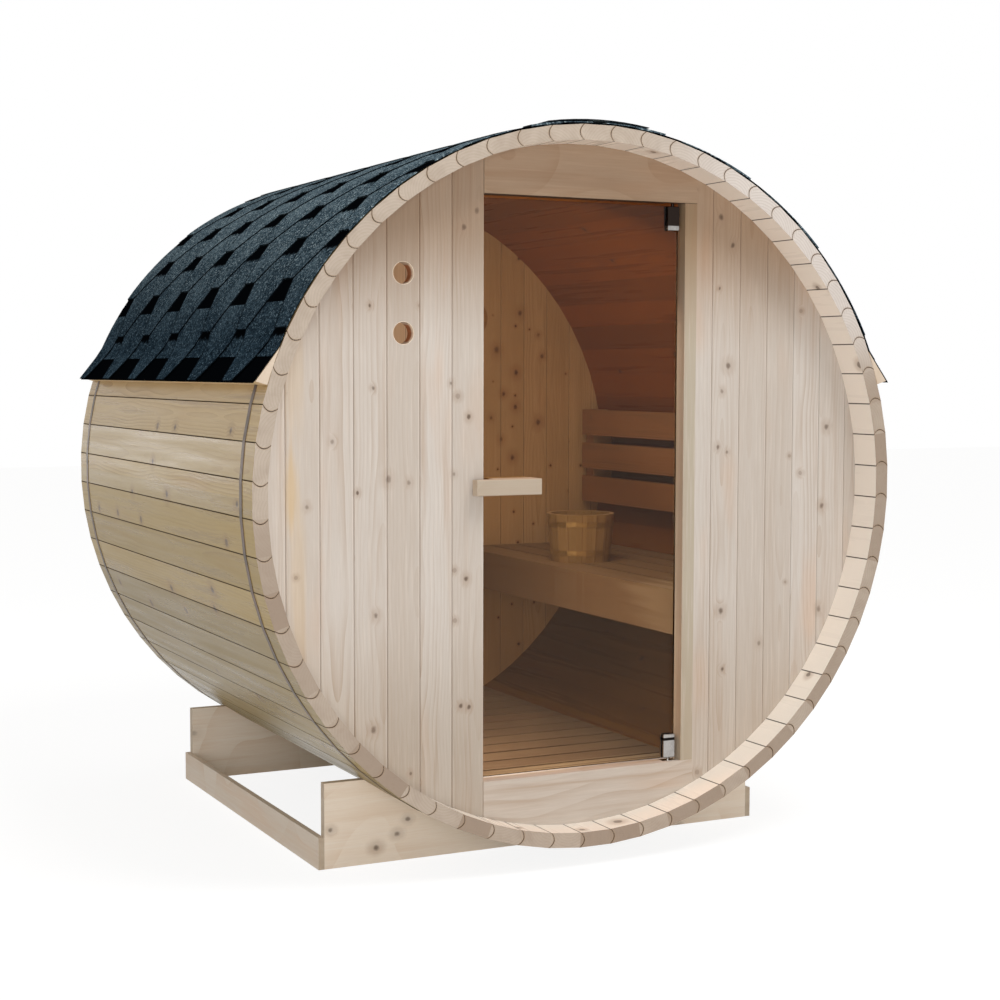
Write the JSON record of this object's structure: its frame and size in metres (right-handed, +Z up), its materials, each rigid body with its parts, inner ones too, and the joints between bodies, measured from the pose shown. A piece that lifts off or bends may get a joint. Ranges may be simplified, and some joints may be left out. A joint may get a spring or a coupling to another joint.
{
  "type": "barrel sauna",
  "caption": "Wooden barrel sauna lying on a low cradle, with a recessed front wall, an outward-swinging tinted glass door, side benches and a shingled roof.",
  "frame": {"origin": "on the ground under the middle of the barrel", "axes": "+Z up, +Y from the door towards the back wall, +X to the right seen from the door"},
  "size_m": [1.9026, 1.72, 1.9679],
  "materials": {
    "stave_spruce": "planed spruce",
    "wall_spruce": "planed spruce",
    "cradle_spruce": "planed spruce",
    "eave_spruce": "planed spruce",
    "bench_spruce": "planed spruce",
    "handle_spruce": "sanded spruce",
    "pail_pine": "sanded pine",
    "dial_face": "sanded wood",
    "door_glass": "bronze tinted, polished",
    "hinge_metal": "polished",
    "band_steel": "dull rolled steel",
    "roof_shingle": "bitumen felt with mineral granules"
  },
  "bodies": {
    "sauna": {"staves_top": "stave_spruce", "staves_upper_left": "stave_spruce", "staves_left": "stave_spruce", "staves_lower_left": "stave_spruce", "staves_bottom": "stave_spruce", "staves_lower_right": "stave_spruce", "staves_right": "stave_spruce", "staves_upper_right": "stave_spruce", "front_wall_left": "wall_spruce", "front_wall_vent_board": "wall_spruce", "front_wall_right": "wall_spruce", "door_header": "wall_spruce", "door_sill": "wall_spruce", "hinge_jamb": "wall_spruce", "back_wall": "wall_spruce", "cradle_support_front": "cradle_spruce", "cradle_support_back": "cradle_spruce", "cradle_rail_left": "cradle_spruce", "cradle_rail_right": "cradle_spruce", "left_eave_batten": "eave_spruce", "right_eave_batten": "eave_spruce", "floor_slats": "bench_spruce", "floor_runners": "bench_spruce", "right_bench_boards": "bench_spruce", "left_bench_boards": "bench_spruce", "right_bench_bearers": "bench_spruce", "left_bench_bearers": "bench_spruce", "right_backrest_slats": "bench_spruce", "left_backrest_slats": "bench_spruce", "backrest_uprights": "bench_spruce", "water_pail": "pail_pine", "wall_dial": "dial_face", "pivot_plates": "hinge_metal", "steel_band_front": "band_steel", "steel_band_back": "band_steel", "band_bolts": "band_steel", "pail_hoops": "band_steel", "roof_shingles_left": "roof_shingle", "roof_shingles_right": "roof_shingle", "roof_ridge_cap": "roof_shingle"},
    "door": {"door_glass": "door_glass", "pivot_clamps": "hinge_metal", "door_handle": "handle_spruce", "inner_handle": "handle_spruce", "handle_bolts": "hinge_metal"}
  },
  "joints": [
    {"name": "door_hinge", "type": "hinge", "parent": "sauna", "child": "door", "pos_m": [0.3, -0.735, 1.004], "axis": [0, 0, 1], "range_deg": [0, 100]}
  ]
}
